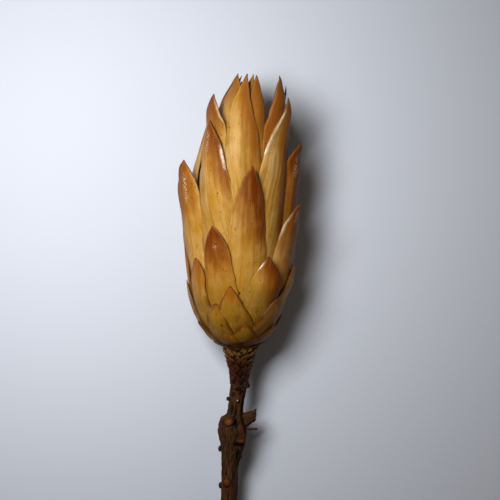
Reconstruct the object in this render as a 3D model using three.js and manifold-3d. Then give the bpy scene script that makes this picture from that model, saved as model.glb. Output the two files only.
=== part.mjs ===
// A dried protea flower head on its cut stem, lying on its side.
// Millimetres, +Z up. +Y runs from the stem's cut end to the tips of the bracts.
// The head is a bud of overlapping pointed bracts that grow in a golden-angle spiral. Below it the
// stem starts as a flared neck clad in small scales, then runs on as bare wood with a swollen joint.
import * as THREE from 'three';
import { mergeVertices } from 'three/addons/utils/BufferGeometryUtils.js';
import Module from 'manifold-3d';

const wasm = await Module();
wasm.setup();

const DEGREE = Math.PI / 180;

// How the flower lies: the head's axis rises a little from its base to its tips, and the underside is
// pressed flat where it meets the surface, at z = 0. The place of the head's base puts the middle of the
// whole flower over the origin.
const LIE_SLOPE = 5 * DEGREE;
const BASE_HEIGHT = 15.95;
const BASE_X = 0.04;
const BASE_Y = -0.39;

// Outline of the head: distance above its base, and radius there.
const HEAD_OUTLINE = [
  [0, 6.0], [2.9, 9.8], [6.6, 12.9], [10.2, 15.1], [17.6, 18.0], [24.9, 19.5], [35, 20.3], [46.8, 21.0],
  [56, 21.3], [64, 20.5], [72, 18.4], [80, 16.3], [87, 14.7], [92, 12.6], [97, 9], [101.5, 5.5],
];
// The upper head leans to +X by this much at full height, starting from the height where the lean begins.
const LEAN = 4.4;
const LEAN_FROM = 50;
const LEAN_OVER = 50;
const LEAN_POWER = 1.5;

// The spiral of bracts: number 0 is a bract low on the upper side, numbers rise towards the tips.
const FIRST_BRACT = -18;
const LAST_BRACT = 34;
const SPIRAL_START = -11;
const SPIRAL_STEP = -137.5;
// Height of a bract's tip by its number, for the bracts that follow the rule.
const TIP_HEIGHTS = [
  [-18, 3.4], [-13, 8.7], [-6, 13], [0, 24.7], [5, 37], [10, 55], [15, 77], [18, 90], [21, 97],
  [26, 99.5], [34, 100.5],
];
// Greatest half width of a bract by its number.
const HALF_WIDTHS = [[-18, 3.2], [-8, 4.2], [0, 5.6], [13, 6.6], [21, 7.5], [26, 5.2], [34, 4.2]];
// Length of the pointed end of a bract, as a share of its half width.
const TAPERS = [[-18, 2], [0, 2.2], [13, 3], [21, 3.6], [34, 3.6]];
// Bracts that differ from the rule: tip height, tip azimuth from straight up, tip radius, and the
// azimuth that the bract grows from.
const OWN_TIPS = {
  '-13': [8.7, -22, 12.9, -24], '-8': [11.1, 8, 14.6, 9], '-6': [12.8, 88, 15.4, 92],
  '-5': [18.1, -30, 17.3, -36], '-3': [20.1, 50, 18.4, 44], '-2': [25.4, -86, 19.6, -92],
  0: [24.7, -10.5, 19.2, -9], 2: [31, 77, 20.6, 72], 3: [34.3, -53, 20.2, -58], 5: [35.2, 31, 20.6, 24],
  6: [42.4, -93, 20.9, -110], 8: [46.3, -27.5, 21.3, -22], 10: [54.3, 63, 24.8, 56],
  11: [69.5, -76, 23.6, -79], 13: [68, 10, 20.8, 7], 15: [75.5, 78, 21.5, 72],
  16: [93.7, -58, 15.8, -25], 18: [92, 66, 15.6, 25], 20: [99.8, 119, 11.5, 121],
  21: [100.6, -17, 6.2, 3], 23: [96.9, 72, 12.9, 68], 25: [99.3, 178, 7, 176], 26: [100, 17, 5.8, 15],
  28: [97, 100, 11.8, 100], 29: [100.6, -55, 6.4, -40], 31: [100.3, 6, 4.2, 10], 33: [99, -160, 6, -150],
  34: [100.4, -35, 4, -20],
};
// Depth of one bract below the one before it in the spiral, by height.
const LAYER_STEPS = [[0, 0.06], [12, 0.1], [30, 0.19], [55, 0.27]];
// A bract's edges lie lower than its middle by this many such steps.
const EDGE_DROP = 2.6;
// The flare at a tip reaches down this share of the bract, and flattens the layers by this much.
const FLARE_REACH = 0.75;
const FLARE_FLATTENS = 0.6;
const LEAST_RADIUS = 1.5;
// A blade stands free near its tip. Further down than this it is sunk into the core.
const BLADE_THICKNESS = 0.85;
const BLADE_DEEPEST = 3.6;
const FREE_LENGTH = 12;
const SUNK_IN_CORE = 0.6;
const POINT_HALF_WIDTH = 0.35;
// A bract runs down until the tip of the one this many numbers below it.
const COVERED_BY = 13;
const SHORTEST_BRACT = 9;
const INNER_FROM = 22;
const SHORTEST_INNER_BRACT = 30;
const BLADE_COLUMNS = 4;
const BLADE_ROWS = 6;
// The small bracts at the base, and the inmost ones that show little, have fewer faces.
const SMALL_UP_TO = -5;
const INMOST_FROM = 27;
const FEW_COLUMNS = 2;
const FEW_ROWS = 4;
// Rows are closer together near the tip by this power.
const DOWN_POWER = 1.35;

// The smaller core that the bracts stand out of.
const CORE_BELOW_OUTLINE = 3.0;
const CORE_BASE_RADIUS = 5.6;
const CORE_RINGS = [3, 7, 12, 18, 26, 36, 46, 56, 66, 72, 77, 81];
const CORE_TOP = 84;
const CORE_SHOULDER = 66;
const CORE_SIDES = 20;

const HEAD_TO_STEM_GAP = 0.3;

// The stem, by distance below the head's base: radius, and the sideways place of its centre.
const STEM_LENGTH = 100;
const STEM_RADII = [
  [0.3, 5.7], [4.8, 4.55], [8.4, 3.65], [11.3, 3.25], [15, 3.2], [17.6, 2.95], [23, 3.0], [25.4, 4.1],
  [27.8, 4.6], [31.1, 4.9], [35.5, 4.3], [39.9, 3.65], [44.7, 3.05], [51.6, 3.0], [62, 2.95], [80, 3.05],
  [100, 3.15],
];
const STEM_SIDEWAYS = [
  [0.3, 0], [11.3, -0.25], [17.6, -0.9], [23, -1.75], [25.4, -2.75], [31.1, -3.0], [39.9, -3.15], [51.6, -4.1],
  [80, -5.6], [100, -6.6],
];
const STEM_BOW = 4.7;
const STEM_SIDES = 16;
const STEM_RING_STEP = 2.6;
// Low ridges of the bark: how many round the stem, their height as a share of its radius, and their turn.
const BARK_RIDGES = 5;
const BARK_RIDGE_HEIGHT = 0.045;
const BARK_TWIST = 0.11;

// Small scales on the neck, in the same spiral as the bracts.
const SCALE_COUNT = 72;
const SCALES_FROM = 1.0;
const SCALES_TO = 14.5;
const SCALE_SPREAD = 1.05;
const SCALE_FULL_SIZE_RADIUS = 4.6;
const SCALE_LENGTH = 1.4;
const SCALE_WIDTH = 1.4;
const SCALE_HEIGHT = 0.62;
const SCALE_TILT = 14 * DEGREE;
const SCALE_SUNK = 0.1;

// Leaf scars and buds on the bark: distance below the head, azimuth, half size across, along and outwards.
const SCARS_AND_BUDS = [
  [14.1, 88, 0.8, 0.9, 0.75], [19, -90, 0.8, 0.8, 0.75], [19.1, 2, 0.7, 0.8, 0.5],
  [26.4, -34, 1.9, 1.8, 0.9], [34, 32, 1.9, 1.0, 0.75], [37.7, -92, 0.9, 1.1, 0.75],
  [49.4, -22, 1.3, 1.6, 0.5], [51.5, -95, 0.9, 1.2, 0.8], [41, 128, 1.3, 1.1, 0.7], [58, 172, 1.4, 1.1, 0.6],
  [66, 48, 1.3, 1.1, 0.6], [77, -84, 1.2, 1.1, 0.65], [88, 100, 1.3, 1.1, 0.6],
];

// The broken side stub at the swollen joint: outline seen from above, and its lower and upper side.
const STUB_OUTLINE = [
  [-1.5, -23.5], [3, -23.6], [5.9, -22.2], [6.4, -26.7], [4.5, -28.4], [3.1, -29.8], [-1.5, -30.5],
];
const STUB_BOTTOM = -1.9;
const STUB_THICKNESS = 2.9;
// The thin twig beside it.
const TWIG_FROM = [0, -29.6, 0.3];
const TWIG_TO = [6.5, -30.1, 0.7];
const TWIG_RADIUS = 0.42;
const TWIG_SIDES = 6;

// Straight value between the points of a list, level beyond its ends.
function between(list, x) {
  if (x <= list[0][0]) return list[0][1];
  for (let i = 1; i < list.length; i += 1) {
    const [x0, y0] = list[i - 1];
    const [x1, y1] = list[i];
    if (x <= x1) return y0 + ((y1 - y0) * (x - x0)) / (x1 - x0);
  }
  return list[list.length - 1][1];
}

// The same list run smoothly, with the slope at each point taken from its two neighbours.
function smooth(list, x) {
  const last = list.length - 1;
  if (x <= list[0][0]) return list[0][1];
  if (x >= list[last][0]) return list[last][1];
  let i = 1;
  while (list[i][0] < x) i += 1;
  const slope = (k) => {
    const a = list[Math.max(k - 1, 0)];
    const b = list[Math.min(k + 1, last)];
    return (b[1] - a[1]) / (b[0] - a[0]);
  };
  const [x0, y0] = list[i - 1];
  const [x1, y1] = list[i];
  const span = x1 - x0;
  const t = (x - x0) / span;
  const rise = y0 * (1 + 2 * t) * (1 - t) ** 2 + y1 * t * t * (3 - 2 * t);
  return rise + span * (slope(i - 1) * t * (1 - t) ** 2 - slope(i) * t * t * (1 - t));
}

// Turns a place in the flower's own frame, with its axis along +Y, to the way that it lies.
function lie(x, y, z) {
  const point = new THREE.Vector3(x, y, z);
  point.applyAxisAngle(new THREE.Vector3(1, 0, 0), LIE_SLOPE);
  return point.add(new THREE.Vector3(BASE_X, BASE_Y, BASE_HEIGHT));
}

function toSolid(geometry) {
  const bare = geometry.clone();
  bare.deleteAttribute('normal');
  bare.deleteAttribute('uv');
  const merged = mergeVertices(bare, 1e-4);
  const mesh = new wasm.Mesh({
    numProp: 3,
    vertProperties: new Float32Array(merged.attributes.position.array),
    triVerts: new Uint32Array(merged.index.array),
  });
  return new wasm.Manifold(mesh);
}

function fuse(solids) {
  let whole = solids[0];
  for (const solid of solids.slice(1)) whole = whole.add(solid);
  return whole;
}

// Only the one outer body: no loose scraps, and sealed hollows filled.
function outerBody(solid) {
  const bodies = solid.decompose();
  bodies.sort((a, b) => b.volume() - a.volume());
  return bodies[0];
}

function toMesh(solid, name, material) {
  const { vertProperties, triVerts } = solid.getMesh();
  const geometry = new THREE.BufferGeometry();
  geometry.setAttribute('position', new THREE.BufferAttribute(new Float32Array(vertProperties), 3));
  geometry.setIndex(new THREE.BufferAttribute(new Uint32Array(triVerts), 1));
  geometry.computeVertexNormals();
  const mesh = new THREE.Mesh(geometry, material);
  mesh.name = name;
  return mesh;
}

// A closed blade from a rule: place(across -1..1, down 0..1, deep 0 or 1) gives each point.
// Both faces are split along the same diagonals.
function bladeGeometry(columns, rows, place) {
  const positions = [];
  for (let deep = 0; deep < 2; deep += 1) {
    for (let row = 0; row <= rows; row += 1) {
      for (let column = 0; column <= columns; column += 1) {
        positions.push(...place((2 * column) / columns - 1, row / rows, deep).toArray());
      }
    }
  }
  const face = (columns + 1) * (rows + 1);
  const at = (row, column, deep) => deep * face + row * (columns + 1) + column;
  const index = [];
  const quad = (a, b, c, d) => index.push(a, b, c, a, c, d);
  for (let row = 0; row < rows; row += 1) {
    for (let column = 0; column < columns; column += 1) {
      quad(at(row, column, 0), at(row + 1, column, 0), at(row + 1, column + 1, 0), at(row, column + 1, 0));
      index.push(at(row, column, 1), at(row + 1, column + 1, 1), at(row + 1, column, 1));
      index.push(at(row, column, 1), at(row, column + 1, 1), at(row + 1, column + 1, 1));
    }
  }
  for (let row = 0; row < rows; row += 1) {
    quad(at(row, 0, 0), at(row, 0, 1), at(row + 1, 0, 1), at(row + 1, 0, 0));
    quad(at(row, columns, 0), at(row + 1, columns, 0), at(row + 1, columns, 1), at(row, columns, 1));
  }
  for (let column = 0; column < columns; column += 1) {
    quad(at(0, column, 0), at(0, column + 1, 0), at(0, column + 1, 1), at(0, column, 1));
    quad(at(rows, column, 0), at(rows, column, 1), at(rows, column + 1, 1), at(rows, column + 1, 0));
  }
  const geometry = new THREE.BufferGeometry();
  geometry.setAttribute('position', new THREE.Float32BufferAttribute(positions, 3));
  geometry.setIndex(index);
  return geometry;
}

const lean = (height) => {
  const share = Math.max(0, (height - LEAN_FROM) / LEAN_OVER);
  return LEAN * share ** LEAN_POWER;
};

const coreRadius = (height) => {
  const body = smooth(HEAD_OUTLINE, height) - CORE_BELOW_OUTLINE;
  const over = Math.max(0, (height - CORE_SHOULDER) / (CORE_TOP - CORE_SHOULDER));
  return Math.max(0, body * Math.sqrt(Math.max(0, 1 - over * over)));
};

// Number of the bract whose tip is at this height.
const numberAt = (height) => {
  const swapped = TIP_HEIGHTS.map(([number, tip]) => [tip, number]);
  return between(swapped, height);
};

// Difference of two azimuths, the short way round.
const turnTo = (from, to) => ((((to - from) % 360) + 540) % 360) - 180;

function bractSizes(number) {
  const azimuth = SPIRAL_START + SPIRAL_STEP * number;
  const ruleTip = between(TIP_HEIGHTS, number);
  const ruled = [ruleTip, azimuth, smooth(HEAD_OUTLINE, ruleTip), azimuth];
  const [tip, tipAzimuth, tipRadius, rootAzimuth] = OWN_TIPS[number] ?? ruled;
  const halfWidth = between(HALF_WIDTHS, number);
  const covered = tip - between(TIP_HEIGHTS, number - COVERED_BY);
  const shortest = number >= INNER_FROM ? SHORTEST_INNER_BRACT : SHORTEST_BRACT;
  return {
    number,
    tip,
    rootAzimuth,
    tipTurn: turnTo(rootAzimuth, tipAzimuth),
    flare: tipRadius - smooth(HEAD_OUTLINE, tip),
    halfWidth,
    taper: halfWidth * between(TAPERS, number),
    length: Math.min(Math.max(covered, shortest), tip - 0.2),
  };
}

function bractPoint(bract, across, down, deep) {
  const fromTip = bract.length * down ** DOWN_POWER;
  const height = bract.tip - fromTip;
  const pointed = Math.min(1, fromTip / bract.taper);
  const halfWidth = POINT_HALF_WIDTH + (bract.halfWidth - POINT_HALF_WIDTH) * (1 - (1 - pointed) ** 2);
  const bend = Math.max(0, 1 - fromTip / (bract.length * FLARE_REACH)) ** 2;
  const step = between(LAYER_STEPS, height);
  const layer = step * (bract.number - numberAt(height));
  const outline = smooth(HEAD_OUTLINE, height) + bract.flare * bend;
  const middle = Math.max(LEAST_RADIUS, outline - Math.max(0, layer) * (1 - bend * FLARE_FLATTENS));
  const drop = EDGE_DROP * step * across * across * (halfWidth / bract.halfWidth);
  let radius = middle - drop;
  if (deep) {
    const thin = radius - BLADE_THICKNESS;
    const filled = Math.max(radius - BLADE_DEEPEST, Math.min(thin, coreRadius(height) - SUNK_IN_CORE));
    const fill = Math.min(1, fromTip / FREE_LENGTH);
    radius = thin + (filled - thin) * fill;
  }
  const turn = bract.tipTurn * (1 - down ** DOWN_POWER);
  const angle = (bract.rootAzimuth + turn) * DEGREE + (across * halfWidth) / middle;
  return lie(radius * Math.sin(angle) + lean(height), height, radius * Math.cos(angle));
}

function coreSolid() {
  const profile = [new THREE.Vector2(0, 0), new THREE.Vector2(CORE_BASE_RADIUS, 0)];
  for (const height of CORE_RINGS) profile.push(new THREE.Vector2(coreRadius(height), height));
  profile.push(new THREE.Vector2(0, CORE_TOP));
  const geometry = new THREE.LatheGeometry(profile, CORE_SIDES);
  const place = geometry.attributes.position;
  for (let i = 0; i < place.count; i += 1) {
    const at = lie(place.getX(i) + lean(place.getY(i)), place.getY(i), place.getZ(i));
    place.setXYZ(i, at.x, at.y, at.z);
  }
  return toSolid(geometry);
}

function flowerHead() {
  const solids = [coreSolid()];
  for (let number = FIRST_BRACT; number <= LAST_BRACT; number += 1) {
    const bract = bractSizes(number);
    const place = (across, down, deep) => bractPoint(bract, across, down, deep);
    const few = number <= SMALL_UP_TO || number >= INMOST_FROM;
    const columns = few ? FEW_COLUMNS : BLADE_COLUMNS;
    solids.push(toSolid(bladeGeometry(columns, few ? FEW_ROWS : BLADE_ROWS, place)));
  }
  return outerBody(fuse(solids).trimByPlane([0, 0, 1], 0));
}

const stemCentre = (below) => [smooth(STEM_SIDEWAYS, below), -below, -STEM_BOW * (below / STEM_LENGTH) ** 2];

function stemWood() {
  const profile = [new THREE.Vector2(0, STEM_LENGTH)];
  const rings = Math.round((STEM_LENGTH - HEAD_TO_STEM_GAP) / STEM_RING_STEP);
  for (let ring = rings; ring >= 0; ring -= 1) {
    const below = HEAD_TO_STEM_GAP + ((STEM_LENGTH - HEAD_TO_STEM_GAP) * ring) / rings;
    profile.push(new THREE.Vector2(smooth(STEM_RADII, below), below));
  }
  profile.push(new THREE.Vector2(0, HEAD_TO_STEM_GAP));
  const geometry = new THREE.LatheGeometry(profile.reverse(), STEM_SIDES);
  const place = geometry.attributes.position;
  for (let i = 0; i < place.count; i += 1) {
    const below = place.getY(i);
    const angle = Math.atan2(place.getX(i), place.getZ(i));
    const ridge = 1 + BARK_RIDGE_HEIGHT * Math.sin(BARK_RIDGES * angle + BARK_TWIST * below);
    const [x, y, z] = stemCentre(below);
    const at = lie(x + place.getX(i) * ridge, y, z - place.getZ(i) * ridge);
    place.setXYZ(i, at.x, at.y, at.z);
  }
  return toSolid(geometry);
}

// Moves a small shape, made round the origin with +Z outwards and +Y up the stem, onto the bark.
function onStem(geometry, below, azimuth, outwards) {
  const [x, y, z] = stemCentre(below);
  const radius = smooth(STEM_RADII, below) + outwards;
  const turned = geometry.clone();
  turned.translate(0, 0, radius);
  turned.rotateY(azimuth * DEGREE);
  turned.translate(x, y, z);
  turned.rotateX(LIE_SLOPE);
  turned.translate(BASE_X, BASE_Y, BASE_HEIGHT);
  return toSolid(turned);
}

function neckScales() {
  const scales = [];
  for (let i = 0; i < SCALE_COUNT; i += 1) {
    const share = (i / (SCALE_COUNT - 1)) ** SCALE_SPREAD;
    const below = SCALES_FROM + (SCALES_TO - SCALES_FROM) * share;
    const size = Math.sqrt(smooth(STEM_RADII, below) / SCALE_FULL_SIZE_RADIUS);
    const shape = new THREE.OctahedronGeometry(1, 0);
    shape.scale(SCALE_WIDTH * size, SCALE_LENGTH, SCALE_HEIGHT);
    shape.rotateX(SCALE_TILT);
    scales.push(onStem(shape, below, SPIRAL_START - SPIRAL_STEP * i, -SCALE_SUNK));
  }
  return scales;
}

function scarsAndBuds() {
  return SCARS_AND_BUDS.map(([below, azimuth, across, along, outwards]) => {
    const shape = new THREE.IcosahedronGeometry(1, 0);
    shape.scale(across, along, outwards);
    return onStem(shape, below, azimuth, 0);
  });
}

function lieDown(geometry) {
  geometry.rotateX(LIE_SLOPE);
  geometry.translate(BASE_X, BASE_Y, BASE_HEIGHT);
  return toSolid(geometry);
}

function sideStub() {
  const outline = new THREE.Shape(STUB_OUTLINE.map(([x, y]) => new THREE.Vector2(x, y)));
  const geometry = new THREE.ExtrudeGeometry(outline, { depth: STUB_THICKNESS, bevelEnabled: false });
  geometry.translate(0, 0, STUB_BOTTOM);
  return lieDown(geometry);
}

function twig() {
  const section = new THREE.Shape();
  for (let i = 0; i < TWIG_SIDES; i += 1) {
    const angle = (2 * Math.PI * i) / TWIG_SIDES;
    const corner = [TWIG_RADIUS * Math.cos(angle), TWIG_RADIUS * Math.sin(angle)];
    if (i) section.lineTo(...corner);
    else section.moveTo(...corner);
  }
  section.closePath();
  const line = new THREE.LineCurve3(new THREE.Vector3(...TWIG_FROM), new THREE.Vector3(...TWIG_TO));
  return lieDown(new THREE.ExtrudeGeometry(section, { steps: 1, bevelEnabled: false, extrudePath: line }));
}

function stem() {
  const solids = [stemWood(), ...neckScales(), ...scarsAndBuds(), sideStub(), twig()];
  return outerBody(fuse(solids).trimByPlane([0, 0, 1], 0));
}

const bractFinish = new THREE.MeshStandardMaterial({ color: 0xb98a45, roughness: 0.42, metalness: 0 });
const woodFinish = new THREE.MeshStandardMaterial({ color: 0x4a2e1a, roughness: 0.85, metalness: 0 });

const flower = new THREE.Group();
flower.add(toMesh(flowerHead(), 'flower_head', bractFinish));
flower.add(toMesh(stem(), 'stem', woodFinish));

export default flower;
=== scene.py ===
import math

import bpy
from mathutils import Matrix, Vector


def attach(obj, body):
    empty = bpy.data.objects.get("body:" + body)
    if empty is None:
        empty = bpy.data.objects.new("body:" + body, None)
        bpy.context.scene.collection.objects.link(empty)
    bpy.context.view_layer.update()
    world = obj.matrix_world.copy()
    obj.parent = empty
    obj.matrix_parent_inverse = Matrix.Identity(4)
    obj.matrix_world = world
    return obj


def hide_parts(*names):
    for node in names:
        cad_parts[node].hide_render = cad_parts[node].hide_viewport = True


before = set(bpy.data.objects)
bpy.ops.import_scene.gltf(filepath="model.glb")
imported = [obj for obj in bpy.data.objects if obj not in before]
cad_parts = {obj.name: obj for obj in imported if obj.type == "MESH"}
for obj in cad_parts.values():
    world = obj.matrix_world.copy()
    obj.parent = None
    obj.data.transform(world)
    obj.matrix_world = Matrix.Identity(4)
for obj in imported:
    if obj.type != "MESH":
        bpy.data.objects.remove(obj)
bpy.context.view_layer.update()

# The head of bracts. On the real flower each bract is a stiff, waxy, pointed leaf that dried to straw
# and orange brown. They all grow out of one receptacle in a golden-angle spiral, each lower one lying
# outside those above it, and nothing but that growth holds them.
MM = 0.001
DEGREE = math.pi / 180
LIE_SLOPE = 5 * DEGREE
# Where the head's base is in the frame. Other sizes are millimetres too: heights up from that base, and
# radii from the head's axis. Azimuths are degrees from straight up, positive toward the photo's right.
HEAD_BASE = (0.04, -0.39, 15.95)
HEAD_OUTLINE = [
    (0, 6.0), (2.9, 9.8), (6.6, 12.9), (10.2, 15.1), (17.6, 18.0), (24.9, 19.5), (35, 20.3), (46.8, 21.0),
    (56, 21.3), (64, 20.5), (72, 18.4), (80, 16.3), (87, 14.7), (92, 12.6), (97, 9), (101.5, 5.5),
]
HEAD_READ_STEPS = 120
LEAN, LEAN_FROM, LEAN_OVER, LEAN_POWER = 4.4, 50, 50, 1.5
# The lower head is fuller than that by this much on its left and on its right, but not where it rests.
FULLER_LEFT = [(0, 0), (3, 1.6), (10, 1.8), (15, 1.3), (24, 1.1), (35, 1.1), (45, 0.9), (60, 0)]
FULLER_RIGHT = [(0, 0), (3, 0.8), (8, 0.9), (12, 0.4), (18, -0.1), (24, 1.2), (35, 1.1), (45, 0.9), (60, 0)]
LEFT_SIDE, RIGHT_SIDE = -0.2, 0.7
REST_SIDE, FREE_SIDE = -0.95, -0.35
# The bracts are numbered up the spiral, and the smallest ones at the base have numbers below 0.
FIRST_BRACT, LAST_BRACT, FIRST_LARGE_BRACT = -27, 34, -6
SPIRAL_START, SPIRAL_STEP = -11, -137.5
TIP_HEIGHTS = [
    (-27, 1.0), (-18, 3.4), (-13, 8.7), (-6, 13), (0, 24.7), (5, 37), (10, 55), (15, 77), (18, 90),
    (21, 97), (26, 99.5), (34, 100.5),
]
HALF_WIDTHS = [(-27, 2.3), (-18, 3.2), (-8, 4.2), (0, 5.6), (13, 6.6), (21, 7.5), (26, 5.2), (34, 4.2)]
TAPERS = [(-27, 0.8), (-18, 1.7), (0, 2.2), (13, 3), (21, 3.6), (34, 3.6)]
WIDENS = 2
# Tip height, tip azimuth, tip radius, and the azimuth that the bract grows from.
OWN_TIPS = {
    -13: (8.7, -22, 12.9, -24), -10: (10.5, -76, 16.0, -76), -8: (11.1, 8, 14.6, 9),
    -6: (12.8, 88, 15.4, 92), -5: (18.1, -30, 17.3, -36), -3: (20.1, 50, 18.4, 44),
    -2: (25.4, -86, 19.6, -92), 0: (24.7, -10.5, 19.2, -9), 2: (31, 77, 20.6, 72),
    3: (34.3, -53, 20.2, -58), 5: (35.2, 31, 20.6, 24), 6: (42.4, -93, 20.9, -110),
    8: (46.3, -27.5, 21.3, -22), 10: (54.0, 67, 23.8, 59), 11: (69.5, -70, 22.9, -64),
    13: (68, 10, 20.8, 7), 15: (75.5, 78, 21.2, 69), 16: (83.8, -52, 16.9, -12),
    18: (92, 66, 15.6, 25), 19: (89, -108, 13.4, -91), 20: (88, 119, 12, 119), 21: (100.6, -17, 6.2, 7),
    23: (99.8, 57, 12, 68), 24: (93.4, -60, 15.6, -46), 25: (99.3, 178, 7, 176), 26: (100, 17, 5.8, 15),
    28: (96.0, 80, 13.95, 84), 29: (100.6, -55, 6.4, 0), 30: (84, 142, 10, 146), 31: (100.3, 6, 4.2, 10),
    32: (97.5, -95, 7, -91), 33: (99, -160, 6, -150), 34: (99.7, -74, 4.8, -60),
}
# Bracts that differ from the rule: half width, taper, and how soon it widens, 1 evenly to 3 at once.
OWN_WIDTHS = {
    -13: (3.6, 6, 2.0), -8: (4.6, 5.6, 1.1), -5: (4.2, 6, 2.4), 0: (5.6, 14, 1.9), 3: (4.4, 9, 2.2),
    5: (6.2, 15, 2.2), 8: (5.4, 14, 2.6), 10: (6.4, 13, 1.9), 11: (5.8, 11, 1.7), 15: (5.6, 11, 1.8),
    16: (8.0, 26, 2.2), 18: (8.0, 21, 1.45), 19: (9.2, 26, 2), 20: (8.0, 20, 2), 21: (7.7, 23, 1.1),
    23: (8.4, 19, 1.2), 24: (6.8, 15, 2.0), 26: (4.2, 15, 1.5), 28: (4.2, 20, 1.2), 29: (6.0, 12, 1.1),
    31: (1.6, 8, 1.2), 34: (1.1, 6, 1.4),
}
LAYER_STEPS = [(0, 0.11), (12, 0.14), (30, 0.19), (55, 0.27)]
EDGE_DROP, RIM_DROP, CURL_HEIGHT = 2.6, 0.12, 0.5
FLARE_REACH, FLARE_FLATTENS = 0.75, 0.6
LEAST_RADIUS = 1.5
POINT_HALF_WIDTH = 0.14
COVERED_BY = 13
SHORTEST_BRACT, INNER_FROM, SHORTEST_INNER_BRACT = 9, 22, 30
ROOT_ABOVE_BASE = 0.2
# A blade runs on this far under the bracts that cover its root, and widens there by this share.
BURIED_LENGTH, BURIED_WIDER = 11, 0.35
# The columns of faces crowd toward a blade's margins, and the rows toward its tip.
COLUMNS_CROWD, DOWN_POWER = 0.35, 1.35
CORE_BELOW_OUTLINE, CORE_TOP, CORE_SHOULDER = 3.0, 84, 66
BLADE_DEEPEST, FREE_LENGTH, SUNK_IN_CORE, UNDERCUT = 3.6, 12, 0.6, 2.6
# Each bract's number, times this, shifts its noise.
NOISE_STEP = 17.31
# How far each bract has browned from its tip, in millimetres, and how dark that brown is.
BROWNING = {
    -8: (3, 0.3), -5: (5, 0.35), -3: (5, 0.2), -2: (9, 0.4), 0: (8, 0.35), 2: (8, 0.3), 3: (14, 0.4),
    5: (17, 0.8), 6: (24, 0.5), 8: (25, 0.95), 10: (42, 0.65), 11: (34, 0.7), 13: (35, 1.2), 15: (60, 1.0),
    16: (26, 0.85), 18: (34, 0.5), 20: (40, 0.6), 21: (24, 0.4), 23: (36, 0.5), 24: (24, 0.8),
    26: (36, 0.5), 28: (12, 1.0), 29: (15, 0.5), 31: (4, 0.1), 34: (5, 1.0),
}
RULED_BROWNING, LOW_BROWNING = (22, 0.5), (3, 0.2)
# Margins that curl up and carry a painted highlight: how much on the left and on the right, and from how far
# below the tip to how far.
CURLED = {
    -5: (0.5, 0.3, 1, 4), -3: (0.4, 0, 1, 8), -2: (0.4, 0.5, 0, 10), 3: (0.5, 0, 1, 4), 5: (0.7, 0, 2, 5),
    10: (0.5, 0, 4, 13), 16: (0, 0.8, 9, 17), 18: (1.0, 0, 5, 20), 23: (0.1, 0, 2, 18),
    24: (0.1, 0.4, 2, 10),
}
NOT_CURLED = (0, 0, 1, 2)
# Bracts folded along a keel: how deep the fold is, and its place across the bract.
KEELED = {
    5: (0.5, 0.15), 10: (0.7, -0.1), 11: (1.6, 0.3), 13: (0.5, 0.15), 15: (1.0, -0.2), 16: (1.2, -0.1),
    18: (0.6, 0.15), 21: (0.4, 0.1), 23: (0.9, 0.1),
}
RULED_KEEL, KEEL_ROUNDING = (0.2, 0), 0.02
# Beads of dried wax along the keel, their glints partly painted in pale: from how far below the tip to how
# far.
BEADED = {8: (7, 8), 10: (3, 7), 11: (5, 15), 15: (5, 12), 16: (4, 11)}
NOT_BEADED = (-9, -9)
# Painted sheen: these bracts get cream painted on their left shoulder, below the brown of the tip, where the
# light from the upper left gleams: how much, 0 to 1.
PAINTED_SHEEN = {5: 0.3, 10: 0.2, 11: 0.2, 13: 0.15, 16: 0.25, 18: 0.5, 21: 0.5, 29: 0.2}
# Bracts that are browner on one side, partly real browning and partly painted shade on the side turned from
# the light: how much more on the right, or on the left where it is negative.
BROWNER_AND_SHADED_RIGHT = {5: 0.6, 10: 0.2, 11: -0.25, 13: 0.25, 15: 0.3, 16: 0.4, 18: 0.7, 21: 0.85, 23: -0.7}
# Blades turned on their middle: how much the right margin stands out past it, as a share of the width.
TILTED = {5: 0.2, 10: 0.15, 11: -0.45, 15: 0.38}
# Bracts that bulge below their tip before it bends back in, in millimetres.
BULGING = {5: 0.7, 10: 0.4, 11: 0.85, 16: 0.8, 18: 0.9, 24: 0.9}
# Small dark marks: bract, across, down, radius.
MARKS = [
    (-5, 2.0, 8.2, 0.5), (13, -2.1, 46, 0.42), (16, 2.3, 25.8, 0.32), (21, -4.5, 19.3, 0.3),
    (8, 0.6, 6.5, 0.35),
]
# A mark counts as this far away, and more, from the other bracts.
OTHER_BRACT_AWAY = 50
# The colours of the dried leaf, of its browning, of its margins and of what marks it.
STRAW, PALE_STRAW = (0.35, 0.175, 0.018), (0.42, 0.245, 0.062)
GOLD, SHEEN_CREAM = (0.38, 0.17, 0.012), (0.6, 0.42, 0.21)
OCHRE, DARK_OCHRE, PALE_OCHRE = (0.225, 0.105, 0.004), (0.115, 0.045, 0.003), (0.34, 0.185, 0.018)
ORANGE, TOP_ORANGE, LOW_ORANGE = (0.34, 0.105, 0.004), (0.35, 0.135, 0.018), (0.215, 0.082, 0.004)
RED_BROWN, STREAK_BROWN = (0.12, 0.019, 0.0005), (0.21, 0.078, 0.009)
FADED_STRAW, PALE_RIB, DUST = (0.22, 0.125, 0.03), (0.57, 0.36, 0.11), (0.17, 0.062, 0.008)
PALE_MARGIN, PAINTED_MARGIN_HIGHLIGHT = (0.58, 0.35, 0.12), (0.8, 0.66, 0.46)
MARGIN_STAIN_AND_SHADE, DARKER_AT_BASE, DARK_RIM_AND_SHADE = (0.13, 0.042, 0.003), (0.1, 0.033, 0.003), (0.085, 0.02, 0.002)
DARK_SCRATCH, PALE_SCRATCH = (0.13, 0.05, 0.006), (0.57, 0.37, 0.11)
WAX_BEAD_GLINT, SPECK = (0.8, 0.62, 0.42), (0.045, 0.012, 0.004)
DARK_MARK, DRY_POINT = (0.03, 0.005, 0.002), (0.07, 0.02, 0.006)


def between(points, x):
    """Straight value between the points of a list, level beyond its ends."""
    if x <= points[0][0]:
        return points[0][1]
    for (x0, y0), (x1, y1) in zip(points, points[1:]):
        if x <= x1:
            return y0 + (y1 - y0) * (x - x0) / (x1 - x0)
    return points[-1][1]


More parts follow.
